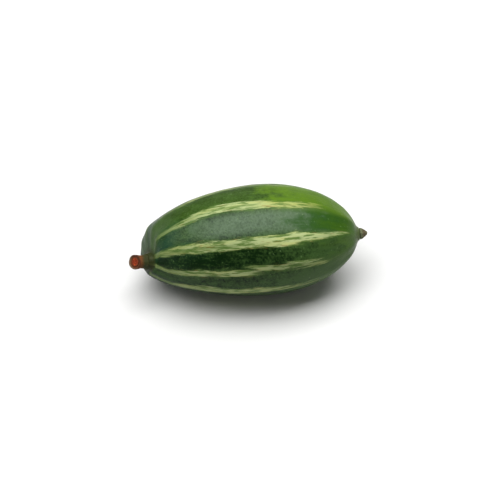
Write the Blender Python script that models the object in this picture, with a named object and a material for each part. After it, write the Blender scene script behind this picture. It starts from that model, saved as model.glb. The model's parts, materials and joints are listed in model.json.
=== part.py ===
"""A pointed gourd, freshly picked, lying on its side.

The fruit is a plump spindle with ten faint ribs. Its stem end is blunt, and its blossom end is
drawn out into a short beak. The corky stub of the stem and the dried remnant of the flower are
pieces of their own, each rooted in a socket of the fruit.

Sizes are in metres. The origin lies on the flat spot that the fruit rests on, under its weight.
+X runs from the stem to the blossom end, -Y is the side that the stub leans to, and +Z is up.
"""

import math

import bmesh
import bpy
from mathutils import Matrix, Vector

# The fruit, from its stem pole to its blossom pole
FRUIT_LENGTH = 0.0775
FRUIT_WIDTH = 0.0396
WIDEST_SHARE = 0.545
STEM_SIDE_CURVE = 1.68
STEM_SIDE_BLUNTNESS = 0.438
BLOSSOM_SIDE_CURVE = 2.17
BLOSSOM_SIDE_BLUNTNESS = 0.54
BOW_MIDDLE = 0.42
STEM_SIDE_BOW = 0.0015
BLOSSOM_SIDE_BOW = 0.0010
STEM_SIDE_FILLET = 4
BLOSSOM_SIDE_FILLET = 2.6

# The ribs, as turns in degrees from +Y over the top of the fruit
RIB_TURNS = (18, 56, 93, 132, 162, 193, 231, 269, 307, 342)
RIB_HEIGHT = 0.00030
RIB_SPREAD = 10.5
RIB_START_RADIUS = 0.0034
RIB_FULL_RADIUS = 0.0090

# How the fruit lies
LEAN = math.radians(1.8)
WIDEST_X = 0.0024
WIDEST_Y = 0.0002
REST_CUT = 0.00040

# The collar that carries the stub: off the middle of the blunt end, sunk a little, and turned up
COLLAR_RADIUS = 0.0030
COLLAR_TOP_RADIUS = 0.0028
COLLAR_HEIGHT = 0.0008
COLLAR_OFFSET = Vector((0.0030, -0.0038, -0.0006))
COLLAR_REACH = 0.0096
COLLAR_AIM = Vector((-0.83, -0.31, 0.46)).normalized()
TURN_REACH = 0.0190
STUB_AIM = Vector((-0.950, -0.162, 0.268)).normalized()

# The beak that carries the remnant of the flower
BEAK_RADIUS = 0.0028
BEAK_TOP_RADIUS = 0.0023
BEAK_LENGTH = 0.0008

# The stub of the stem, cut off slantwise
STUB_LENGTH = 0.0038
STUB_FOOT_RADIUS = 0.0026
STUB_WAIST_RADIUS = 0.0023
STUB_LIP_RADIUS = 0.00245
STUB_SPARE = 0.0025
STUB_CORNERS = 5
STUB_CORNER_HEIGHT = 0.00015
CUT_AIM = Vector((-0.651, -0.446, 0.613)).normalized()
BARK_THICKNESS = 0.00065
PITH_EDGE = 0.00016
PITH_DEPTH = 0.00045

# The remnant of the flower
TIP_LENGTH = 0.0024
TIP_FOOT_RADIUS = 0.0022
TIP_END_RADIUS = 0.0007
TIP_POINT_RADIUS = 0.0004
TIP_CREASES = 7
TIP_CREASE_DEPTH = 0.00013

# The sockets, and the free gap between a root and its socket
ROOT_RADIUS = 0.0016
ROOT_DEPTH = 0.0015
GAP = 0.0003

FRUIT_ROWS = 42
FRUIT_SIDES = 80
STUB_SIDES = 30
TIP_SIDES = 28
SHARP_ANGLE = math.radians(40)
WELD = 1e-6

WIDEST = WIDEST_SHARE * FRUIT_LENGTH
FRUIT_RADIUS = FRUIT_WIDTH / 2
AXIS_HEIGHT = FRUIT_RADIUS - REST_CUT
TO_STEM = Vector((-1.0, 0.0, 0.0))


def ease(share):
    """A smooth step from 0 to 1."""
    share = min(1.0, max(0.0, share))
    return share * share * (3 - 2 * share)


def mix(first, last, share):
    """The value that lies the given share of the way from first to last."""
    return first + (last - first) * share


def fruit_radius(along):
    """The radius of the fruit at a distance from its stem pole, with the fillets at collar and beak."""
    if along < WIDEST:
        share = (WIDEST - along) / WIDEST
        curve, bluntness = STEM_SIDE_CURVE, STEM_SIDE_BLUNTNESS
        neck, fillet = COLLAR_RADIUS, STEM_SIDE_FILLET
    else:
        share = (along - WIDEST) / (FRUIT_LENGTH - WIDEST)
        curve, bluntness = BLOSSOM_SIDE_CURVE, BLOSSOM_SIDE_BLUNTNESS
        neck, fillet = BEAK_RADIUS, BLOSSOM_SIDE_FILLET
    spindle = FRUIT_RADIUS * max(0.0, 1 - share**curve) ** bluntness
    return (spindle**fillet + neck**fillet) ** (1 / fillet)


def rib_height(turn, radius):
    """How far the ribs raise the skin at a turn in degrees, where the fruit has that radius."""
    raised = 0.0
    for rib in RIB_TURNS:
        apart = (turn - rib + 180) % 360 - 180
        raised += math.exp(-((apart / RIB_SPREAD) ** 2))
    share = (radius - RIB_START_RADIUS) / (RIB_FULL_RADIUS - RIB_START_RADIUS)
    return RIB_HEIGHT * raised * ease(share)


def nearness(along, reach):
    """How near a cross-section is to the collar, from 0 where its radius is the reach, to 1."""
    if along >= WIDEST:
        return 0.0
    return 1 - ease((fruit_radius(along) - COLLAR_RADIUS) / (reach - COLLAR_RADIUS))


def centre_line(along):
    """The middle of a cross-section, bowed, and drawn to the collar at the stem end."""
    share = 2 * (along / FRUIT_LENGTH - BOW_MIDDLE)
    bow = STEM_SIDE_BOW if share < 0 else BLOSSOM_SIDE_BOW
    middle = Vector((along - WIDEST, -bow * share * share, 0.0))
    return middle + COLLAR_OFFSET * nearness(along, COLLAR_REACH)


def ring_aim(along):
    """The way that a cross-section faces: to the stem end, and near the collar as the collar does."""
    return mix(TO_STEM, COLLAR_AIM, nearness(along, TURN_REACH)).normalized()


def laid_down(point):
    """A point of the level design, moved to where it is on the fruit as it lies."""
    return Matrix.Rotation(-LEAN, 3, "Y") @ point + Vector((WIDEST_X, WIDEST_Y, AXIS_HEIGHT))


def ring_point(centre, aim, radius, turn):
    """The point at a turn in degrees on a ring round an aim. Turn 0 is the side nearest to +Y."""
    first = (Vector((0.0, 1.0, 0.0)) - aim * aim.y).normalized()
    second = first.cross(aim)
    angle = math.radians(turn)
    return centre + radius * (math.cos(angle) * first + math.sin(angle) * second)


STEM_POLE = centre_line(0.0)
BLOSSOM_POLE = centre_line(FRUIT_LENGTH)
COLLAR_TOP = STEM_POLE + STUB_AIM * COLLAR_HEIGHT
BEAK_TOP = BLOSSOM_POLE - TO_STEM * BEAK_LENGTH


def fruit_rings():
    """Each ring of the fruit as (centre, aim, radius, whether it has ribs), from socket to socket."""
    socket_radius = ROOT_RADIUS + GAP
    socket_depth = ROOT_DEPTH + GAP
    collar_aim = mix(STUB_AIM, COLLAR_AIM, 0.5).normalized()
    rings = [
        (COLLAR_TOP - STUB_AIM * socket_depth, STUB_AIM, socket_radius, False),
        (COLLAR_TOP, STUB_AIM, socket_radius, False),
        (COLLAR_TOP, STUB_AIM, COLLAR_TOP_RADIUS, False),
        ((COLLAR_TOP + STEM_POLE) / 2, collar_aim, COLLAR_RADIUS, False),
    ]
    for row in range(1, FRUIT_ROWS):
        along = FRUIT_LENGTH * (1 - math.cos(math.pi * row / FRUIT_ROWS)) / 2
        rings.append((centre_line(along), ring_aim(along), fruit_radius(along), True))
    rings += [
        ((BLOSSOM_POLE + BEAK_TOP) / 2, TO_STEM, (BEAK_RADIUS + BEAK_TOP_RADIUS) / 2, False),
        (BEAK_TOP, TO_STEM, BEAK_TOP_RADIUS, False),
        (BEAK_TOP, TO_STEM, socket_radius, False),
        (BEAK_TOP + TO_STEM * socket_depth, TO_STEM, socket_radius, False),
    ]
    return rings


def rolled_skin(rows, sides, point_at):
    """A closed skin rolled from a flat grid. point_at gives a corner's place from its row and turn."""
    skin = bmesh.new()
    bmesh.ops.create_grid(skin, x_segments=rows - 1, y_segments=sides, size=0.5)
    for corner in skin.verts:
        row = round((corner.co.x + 0.5) * (rows - 1))
        turn = 360 * round((corner.co.y + 0.5) * sides) / sides
        corner.co = point_at(row, turn % 360)
    bmesh.ops.remove_doubles(skin, verts=skin.verts, dist=WELD)
    bmesh.ops.holes_fill(skin, edges=skin.edges, sides=0)
    bmesh.ops.recalc_face_normals(skin, faces=skin.faces)
    return skin


def cut_flat(skin, place, outward):
    """Cuts a skin off at a plane and closes it there. Returns the face that closes it."""
    everything = skin.verts[:] + skin.edges[:] + skin.faces[:]
    bmesh.ops.bisect_plane(skin, geom=everything, plane_co=place, plane_no=outward, clear_outer=True)
    closed = bmesh.ops.holes_fill(skin, edges=skin.edges, sides=0)
    bmesh.ops.recalc_face_normals(skin, faces=skin.faces)
    return closed["faces"][0]


def plain_material(name, colour, roughness):
    """A plain surface of one colour."""
    material = bpy.data.materials.new(name)
    material.use_nodes = True
    shader = material.node_tree.nodes["Principled BSDF"]
    shader.inputs["Base Color"].default_value = (*colour, 1.0)
    shader.inputs["Roughness"].default_value = roughness
    shader.inputs["Metallic"].default_value = 0.0
    return material


def finished(name, skin, material, parent):
    """An object made of a skin, smooth but for its sharp rims."""
    mesh = bpy.data.meshes.new(name)
    skin.to_mesh(mesh)
    skin.free()
    mesh.shade_smooth()
    mesh.set_sharp_from_angle(angle=SHARP_ANGLE)
    mesh.materials.append(material)
    piece = bpy.data.objects.new(name, mesh)
    bpy.context.scene.collection.objects.link(piece)
    piece.parent = parent
    return piece


def make_fruit(parent):
    """The fruit, with its ribs, its two sockets and the flat spot that it rests on."""
    rings = fruit_rings()

    def point_at(row, turn):
        centre, aim, radius, ribbed = rings[row]
        raised = rib_height(turn, radius) if ribbed else 0.0
        return laid_down(ring_point(centre, aim, radius + raised, turn))

    skin = rolled_skin(len(rings), FRUIT_SIDES, point_at)
    cut_flat(skin, Vector((0.0, 0.0, 0.0)), Vector((0.0, 0.0, -1.0)))
    return finished("fruit", skin, plain_material("striped skin", (0.05, 0.13, 0.03), 0.38), parent)


def make_stub(parent):
    """The corky stub of the stem, cut off slantwise, with its pith sunk in the cut."""
    # Heights over the collar and radii, from the root in the socket to well past the cut
    levels = (
        (-ROOT_DEPTH - GAP, ROOT_RADIUS),
        (0.0, ROOT_RADIUS),
        (0.0, STUB_FOOT_RADIUS),
        (0.10 * STUB_LENGTH, STUB_FOOT_RADIUS),
        (0.30 * STUB_LENGTH, mix(STUB_FOOT_RADIUS, STUB_WAIST_RADIUS, 0.8)),
        (0.55 * STUB_LENGTH, STUB_WAIST_RADIUS),
        (0.80 * STUB_LENGTH, mix(STUB_WAIST_RADIUS, STUB_LIP_RADIUS, 0.6)),
        (STUB_LENGTH, STUB_LIP_RADIUS),
        (STUB_LENGTH + STUB_SPARE, STUB_LIP_RADIUS),
    )
    foot = COLLAR_TOP + STUB_AIM * GAP

    def point_at(row, turn):
        height, radius = levels[row]
        if radius > ROOT_RADIUS:
            radius += STUB_CORNER_HEIGHT * math.cos(math.radians(STUB_CORNERS * turn))
        return laid_down(ring_point(foot + STUB_AIM * height, STUB_AIM, radius, turn))

    skin = rolled_skin(len(levels), STUB_SIDES, point_at)
    cut = cut_flat(skin, laid_down(foot + STUB_AIM * STUB_LENGTH), CUT_AIM)
    bmesh.ops.inset_region(skin, faces=[cut], thickness=BARK_THICKNESS)
    bmesh.ops.inset_region(skin, faces=[cut], thickness=PITH_EDGE, depth=-PITH_DEPTH)
    return finished("stem_stub", skin, plain_material("cork", (0.32, 0.17, 0.06), 0.8), parent)


def make_blossom_tip(parent):
    """The dried remnant of the flower, a creased cone on the end of the beak."""
    # Heights over the beak and radii, from the root in the socket to the point
    levels = (
        (-ROOT_DEPTH - GAP, ROOT_RADIUS),
        (0.0, ROOT_RADIUS),
        (0.0, TIP_FOOT_RADIUS),
        (0.20 * TIP_LENGTH, 0.94 * TIP_FOOT_RADIUS),
        (0.45 * TIP_LENGTH, mix(TIP_FOOT_RADIUS, TIP_END_RADIUS, 0.38)),
        (0.72 * TIP_LENGTH, mix(TIP_FOOT_RADIUS, TIP_END_RADIUS, 0.72)),
        (0.94 * TIP_LENGTH, TIP_END_RADIUS),
        (TIP_LENGTH, TIP_POINT_RADIUS),
    )
    foot = BEAK_TOP - TO_STEM * GAP

    def point_at(row, turn):
        height, radius = levels[row]
        if radius != ROOT_RADIUS:
            depth = TIP_CREASE_DEPTH * radius / TIP_FOOT_RADIUS
            radius -= depth * math.cos(math.radians(TIP_CREASES * turn))
        return laid_down(ring_point(foot - TO_STEM * height, TO_STEM, radius, turn))

    skin = rolled_skin(len(levels), TIP_SIDES, point_at)
    return finished("blossom_tip", skin, plain_material("dry blossom", (0.14, 0.11, 0.06), 0.85), parent)


def main():
    for old in list(bpy.data.objects):
        bpy.data.objects.remove(old)
    gourd = bpy.data.objects.new("pointed_gourd", None)
    bpy.context.scene.collection.objects.link(gourd)
    make_fruit(gourd)
    make_stub(gourd)
    make_blossom_tip(gourd)


main()
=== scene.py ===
"""The looks of one freshly picked pointed gourd, lying on its side on a plain pale floor.

Everything is in metres, in the frame of the solids: the origin is on the flat spot that the fruit
rests on, +X runs from the stem to the blossom end, and +Z is up.
"""

import json
import logging
import math
import random
from dataclasses import dataclass, field
from enum import Enum

import bpy
from mathutils import Matrix, Vector

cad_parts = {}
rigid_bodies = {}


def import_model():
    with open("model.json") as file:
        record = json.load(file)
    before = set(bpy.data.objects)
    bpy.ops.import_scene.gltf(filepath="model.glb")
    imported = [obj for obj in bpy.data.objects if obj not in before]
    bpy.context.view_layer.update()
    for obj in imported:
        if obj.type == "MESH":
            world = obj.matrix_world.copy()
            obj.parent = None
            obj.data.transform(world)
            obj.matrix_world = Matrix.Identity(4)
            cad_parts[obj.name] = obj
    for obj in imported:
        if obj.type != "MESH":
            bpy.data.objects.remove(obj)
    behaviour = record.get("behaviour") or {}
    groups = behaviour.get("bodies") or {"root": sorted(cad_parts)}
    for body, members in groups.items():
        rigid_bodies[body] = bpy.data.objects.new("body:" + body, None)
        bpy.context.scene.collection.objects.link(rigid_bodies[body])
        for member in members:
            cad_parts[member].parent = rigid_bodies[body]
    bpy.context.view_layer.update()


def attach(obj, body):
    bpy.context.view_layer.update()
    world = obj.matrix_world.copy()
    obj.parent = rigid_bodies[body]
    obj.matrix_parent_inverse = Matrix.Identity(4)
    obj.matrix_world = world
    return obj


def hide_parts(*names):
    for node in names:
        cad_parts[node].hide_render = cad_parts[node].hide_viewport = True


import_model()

BODY = "root"
TO_STEM = Vector((-1.0, 0.0, 0.0))
# The least angle worth a turn, and how near a face is to a plane, and to the plane's way, that it is in
SMALLEST_TURN = 1e-5
ON_PLANE = 1e-5
SAME_WAY = 0.99
MM_PER_METRE = 1000
LOG = logging.getLogger("gourd")

Colour = tuple[float, float, float]


def held(share: float) -> float:
    """Returns a share held between 0 and 1."""
    return min(1.0, max(0.0, share))


def ease(share: float) -> float:
    """Returns a smooth step from 0 to 1."""
    share = held(share)
    return share * share * (3 - 2 * share)


class Gloss(Enum):
    """The roughness of each kind of surface."""

    WAXY = 0.36
    DULL = 0.72
    DRY = 0.85


@dataclass(frozen=True)
class Section:
    """One ring of a grown piece.

    The share runs along the piece, and the ribbed flag says whether the ring carries the ribs.
    """

    centre: Vector
    aim: Vector
    radius: float
    share: float
    ribbed: bool = True


@dataclass(frozen=True)
class FruitForm:
    """The fruit's driving sizes and the formulas that follow from them, as in the solid."""

    length: float = 0.0775
    width: float = 0.0396
    widest_share: float = 0.545
    stem_curve: float = 1.68
    stem_bluntness: float = 0.438
    blossom_curve: float = 2.17
    blossom_bluntness: float = 0.54
    stem_fillet: float = 4.0
    blossom_fillet: float = 2.6
    bow_middle: float = 0.42
    stem_bow: float = 0.0015
    blossom_bow: float = 0.0010
    collar_radius: float = 0.0030
    collar_top_radius: float = 0.0028
    collar_height: float = 0.0008
    collar_offset: tuple[float, float, float] = (0.0030, -0.0038, -0.0006)
    collar_reach: float = 0.0096
    collar_direction: tuple[float, float, float] = (-0.83, -0.31, 0.46)
    turn_reach: float = 0.0190
    beak_radius: float = 0.0028
    beak_top_radius: float = 0.0023
    beak_length: float = 0.0008
    lean: float = math.radians(1.8)
    widest_x: float = 0.0024
    widest_y: float = 0.0002
    rest_cut: float = 0.00040
    stub_direction: tuple[float, float, float] = (-0.950, -0.162, 0.268)
    cut_direction: tuple[float, float, float] = (-0.651, -0.446, 0.613)

    @property
    def widest(self) -> float:
        """Returns the distance from the stem pole to the widest ring."""
        return self.widest_share * self.length

    @property
    def stub_aim(self) -> Vector:
        """Returns the way that the stub points, in the level design."""
        return Vector(self.stub_direction).normalized()

    @property
    def collar_aim(self) -> Vector:
        """Returns the way that the collar faces, in the level design."""
        return Vector(self.collar_direction).normalized()

    @property
    def cut_aim(self) -> Vector:
        """Returns the way that the stub's cut faces, in the level design."""
        return Vector(self.cut_direction).normalized()

    def radius(self, along: float) -> float:
        """Works out the fruit's radius.

        Args:
            along: Distance from the stem pole.

        Returns:
            The radius there, with the fillets that lead into the collar and the beak.
        """
        if along < self.widest:
            share = (self.widest - along) / self.widest
            curve, bluntness = self.stem_curve, self.stem_bluntness
            neck, fillet = self.collar_radius, self.stem_fillet
        else:
            share = (along - self.widest) / (self.length - self.widest)
            curve, bluntness = self.blossom_curve, self.blossom_bluntness
            neck, fillet = self.beak_radius, self.blossom_fillet
        spindle = self.width / 2 * max(0.0, 1 - share**curve) ** bluntness
        return (spindle**fillet + neck**fillet) ** (1 / fillet)

    def nearness(self, along: float, reach: float) -> float:
        """Works out how near a cross-section is to the collar.

        Args:
            along: Distance from the stem pole.
            reach: The radius of the cross-section where the collar's pull begins.

        Returns:
            A share from 0, out of reach, to 1 at the collar.
        """
        if along >= self.widest:
            return 0.0
        return 1 - ease((self.radius(along) - self.collar_radius) / (reach - self.collar_radius))

    def aim(self, along: float) -> Vector:
        """Returns the way that a cross-section faces: to the stem end, and near the collar as it does."""
        return TO_STEM.lerp(self.collar_aim, self.nearness(along, self.turn_reach)).normalized()

    def centre(self, along: float) -> Vector:
        """Works out the middle of a cross-section in the level design.

        Args:
            along: Distance from the stem pole.

        Returns:
            The middle, bowed, and drawn to the collar at the stem end.
        """
        share = 2 * (along / self.length - self.bow_middle)
        bow = self.stem_bow if share < 0 else self.blossom_bow
        middle = Vector((along - self.widest, -bow * share * share, 0.0))
        return middle + Vector(self.collar_offset) * self.nearness(along, self.collar_reach)

    def laid(self, point: Vector) -> Vector:
        """Returns a point of the level design, moved to where it is on the fruit as it lies."""
        height = self.width / 2 - self.rest_cut
        return self.turned(point) + Vector((self.widest_x, self.widest_y, height))

    def turned(self, aim: Vector) -> Vector:
        """Returns a direction of the level design as it points on the fruit as it lies."""
        return Matrix.Rotation(-self.lean, 3, "Y") @ aim

    @property
    def collar_top(self) -> Vector:
        """Returns the middle of the collar's top in the level design."""
        return self.centre(0.0) + self.stub_aim * self.collar_height

    @property
    def beak_top(self) -> Vector:
        """Returns the middle of the beak's top in the level design."""
        return self.centre(self.length) - TO_STEM * self.beak_length


class Bench:
    """Blender's modelling operators, as a maker uses them on one piece."""

    @staticmethod
    def clear_selection() -> None:
        """Leaves nothing selected, the solids of the frame included."""
        for item in bpy.context.scene.objects:
            item.select_set(False)

    @staticmethod
    def open(piece: bpy.types.Object, kind: str = "VERT") -> None:
        """Opens a piece's mesh for editing with nothing selected.

        Args:
            piece: The piece to edit.
            kind: What is selected by: VERT, EDGE or FACE.
        """
        Bench.clear_selection()
        piece.select_set(True)
        bpy.context.view_layer.objects.active = piece
        bpy.ops.object.mode_set(mode="EDIT")
        bpy.ops.mesh.select_mode(type=kind)
        bpy.ops.mesh.select_all(action="DESELECT")

    @staticmethod
    def close() -> None:
        """Ends the editing of a mesh."""
        bpy.ops.object.mode_set(mode="OBJECT")

    @staticmethod
    def cylinder(name: str, first: Section, second: Section, sides: int) -> bpy.types.Object:
        """Adds the short closed cylinder that a piece is grown from.

        Args:
            name: The piece's name.
            first: The section at its foot.
            second: The section at its top.
            sides: How many sides it has.

        Returns:
            The piece, its place in its mesh.
        """
        Bench.clear_selection()
        span = second.centre - first.centre
        bpy.ops.mesh.primitive_cylinder_add(
            vertices=sides,
            radius=first.radius,
            depth=span.length,
            location=(first.centre + second.centre) / 2,
            rotation=span.to_track_quat("Z", "Y").to_euler(),
            calc_uvs=False,
        )
        piece = bpy.context.active_object
        piece.name = name
        piece.data.name = name
        bpy.ops.object.transform_apply(location=True, rotation=True, scale=True)
        return piece

    @staticmethod
    def grow(name: str, sections: list[Section], sides: int) -> bpy.types.Object:
        """Grows a closed piece section by section, by extruding its cap.

        Args:
            name: The piece's name.
            sections: Its rings, from foot to end.
            sides: How many sides each ring has.

        Returns:
            The piece. Each ring's corners follow those of the ring before it.
        """
        piece = Bench.cylinder(name, sections[0], sections[1], sides)
        Bench.open(piece, "FACE")
        Bench.close()
        cap = min(piece.data.polygons, key=lambda face: (face.center - sections[1].centre).length)
        cap.select = True
        bpy.ops.object.mode_set(mode="EDIT")
        Bench.size_cap(sections[1], sections[1].radius / sections[0].radius)
        for before, after in zip(sections[1:], sections[2:]):
            shift = after.centre - before.centre
            bpy.ops.mesh.extrude_region_move(TRANSFORM_OT_translate={"value": shift})
            Bench.size_cap(after, after.radius / before.radius)
            Bench.steer_cap(before, after)
        bpy.ops.mesh.select_all(action="SELECT")
        bpy.ops.mesh.normals_make_consistent(inside=False)
        Bench.close()
        return piece

    @staticmethod
    def size_cap(section: Section, factor: float) -> None:
        """Sizes the selected cap about the middle of its section."""
        bpy.ops.transform.resize(value=(factor, factor, factor), center_override=section.centre)

    @staticmethod
    def steer_cap(before: Section, after: Section) -> None:
        """Turns the selected cap from one section's aim to the next one's, about X, Y and Z in turn.

        Args:
            before: The section that the cap faced with.
            after: The section that it is to face with.
        """
        turn = before.aim.rotation_difference(after.aim).to_euler("XYZ")
        for axis, angle in zip("XYZ", turn):
            if abs(angle) > SMALLEST_TURN:
                bpy.ops.transform.rotate(
                    value=-angle, orient_axis=axis, orient_type="GLOBAL", center_override=after.centre
                )

    @staticmethod
    def apply(piece: bpy.types.Object, kind: str, name: str, **settings: object) -> None:
        """Adds a modifier to a piece and applies it.

        Args:
            piece: The piece.
            kind: The modifier's type.
            name: The modifier's name.
            **settings: The modifier's own settings.
        """
        Bench.clear_selection()
        piece.select_set(True)
        bpy.context.view_layer.objects.active = piece
        modifier = piece.modifiers.new(name, kind)
        for setting, value in settings.items():
            setattr(modifier, setting, value)
        bpy.ops.object.modifier_apply(modifier=modifier.name)

    @staticmethod
    def round_off(piece: bpy.types.Object, levels: int) -> None:
        """Smooths a piece's cage by subdivision."""
        Bench.apply(piece, "SUBSURF", "rounding", levels=levels, render_levels=levels)

    @staticmethod
    def press_flat(piece: bpy.types.Object) -> None:
        """Presses what reaches below the floor flat onto it.

        Args:
            piece: The piece.
        """
        Bench.open(piece)
        Bench.close()
        for corner in piece.data.vertices:
            corner.select = corner.co.z < 0.0
        bpy.ops.object.mode_set(mode="EDIT")
        bpy.ops.transform.resize(value=(1.0, 1.0, 0.0), center_override=(0.0, 0.0, 0.0))
        Bench.close()

    @staticmethod
    def uneven(piece: bpy.types.Object, name: str, size: float, depth: float, group: str = "") -> None:
        """Gives a piece's surface soft dents, inwards only.

        Args:
            piece: The piece.
            name: The name of the pattern.
            size: How large the dents are.
            depth: How deep the deepest dent is.
            group: The vertex group that the dents keep to, if any.
        """
        pattern = bpy.data.textures.new(name, "CLOUDS")
        pattern.noise_scale = size
        pattern.noise_depth = 2
        Bench.apply(
            piece, "DISPLACE", name, texture=pattern, texture_coords="LOCAL",
            strength=depth, mid_level=1.0, vertex_group=group,
        )

    @staticmethod
    def smooth(piece: bpy.types.Object) -> None:
        """Shades a piece smooth all over.

        Args:
            piece: The piece.
        """
        Bench.clear_selection()
        piece.select_set(True)
        bpy.context.view_layer.objects.active = piece
        bpy.ops.object.shade_smooth()


def ring_places(
    piece: bpy.types.Object, sections: list[Section], sides: int
) -> list[tuple[Section, float]]:
    """Finds where each corner of a grown piece lies.

    Args:
        piece: The piece, straight after it was grown.
        sections: The sections that it was grown by.
        sides: How many sides each ring has.

    Returns:
        For each corner its section, and its turn in degrees from +Y over the top.
    """
    places = []
    for corner in piece.data.vertices:
        row = corner.index // sides
        # The corners of the first two rings alternate
        if row < 2:
            row = min((0, 1), key=lambda r: abs((corner.co - sections[r].centre).dot(sections[r].aim)))
        section = sections[row]
        across = (Vector((0.0, 1.0, 0.0)) - section.aim * section.aim.y).normalized()
        upward = across.cross(section.aim)
        spoke = corner.co - section.centre
        turn = math.degrees(math.atan2(spoke.dot(upward), spoke.dot(across)))
        places.append((section, turn % 360))
    return places


def wrap_coordinates(piece: bpy.types.Object, places: list[tuple[Section, float]]) -> None:
    """Keeps on a piece, for its finish, how far along and round it each corner lies.

    Args:
        piece: The piece.
        places: Each corner's section and turn.
    """
    wrap = piece.data.attributes.new("wrap", "FLOAT_VECTOR", "POINT")
    for corner, (section, turn) in zip(wrap.data, places):
        angle = math.radians(turn)
        corner.vector = (section.share, math.cos(angle), math.sin(angle))


class Wire:
    """A socket of a material's node tree that Python's arithmetic works on."""

    def __init__(self, tree: bpy.types.NodeTree, socket: bpy.types.NodeSocket) -> None:
        """Wraps one output socket."""
        self.tree = tree
        self.socket = socket

    def maths(self, operation: str, *values: "Wire | float") -> "Wire":
        """Adds one Math node.

        Args:
            operation: Blender's name of the operation.
            *values: Its inputs in order.

        Returns:
            The node's result.
        """
        node = self.tree.nodes.new("ShaderNodeMath")
        node.operation = operation
        for socket, value in zip(node.inputs, values):
            if isinstance(value, Wire):
                self.tree.links.new(value.socket, socket)
            else:
                socket.default_value = value
        return Wire(self.tree, node.outputs[0])

    def __add__(self, other: "Wire | float") -> "Wire":
        """Returns the sum."""
        return self.maths("ADD", self, other)

    def __radd__(self, other: float) -> "Wire":
        """Returns the sum with a number first."""
        return self.maths("ADD", other, self)

    def __sub__(self, other: "Wire | float") -> "Wire":
        """Returns the difference."""
        return self.maths("SUBTRACT", self, other)

    def __rsub__(self, other: float) -> "Wire":
        """Returns the difference from a number."""
        return self.maths("SUBTRACT", other, self)

    def __mul__(self, other: "Wire | float") -> "Wire":
        """Returns the product."""
        return self.maths("MULTIPLY", self, other)

    def __rmul__(self, other: float) -> "Wire":
        """Returns the product with a number first."""
        return self.maths("MULTIPLY", other, self)

    def __truediv__(self, other: "Wire | float") -> "Wire":
        """Returns the quotient."""
        return self.maths("DIVIDE", self, other)

    def wrapped(self, low: float, high: float) -> "Wire":
        """Returns the value brought between two bounds in whole rounds."""
        return self.maths("WRAP", self, high, low)

    def __abs__(self) -> "Wire":
        """Returns the value without its sign."""
        return self.maths("ABSOLUTE", self)

    def __or__(self, other: "Wire | float") -> "Wire":
        """Returns the larger of two values, which joins two masks."""
        return self.maths("MAXIMUM", self, other)

    def held(self) -> "Wire":
        """Returns the value held between 0 and 1."""
        return self.maths("MINIMUM", self.maths("MAXIMUM", self, 0.0), 1.0)


@dataclass(frozen=True)
class Grain:
    """One noise of a surface: its scale, its finer layers, and how strong each is beside the last."""

    scale: float
    layers: float = 2.0
    strength: float = 0.5


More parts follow.
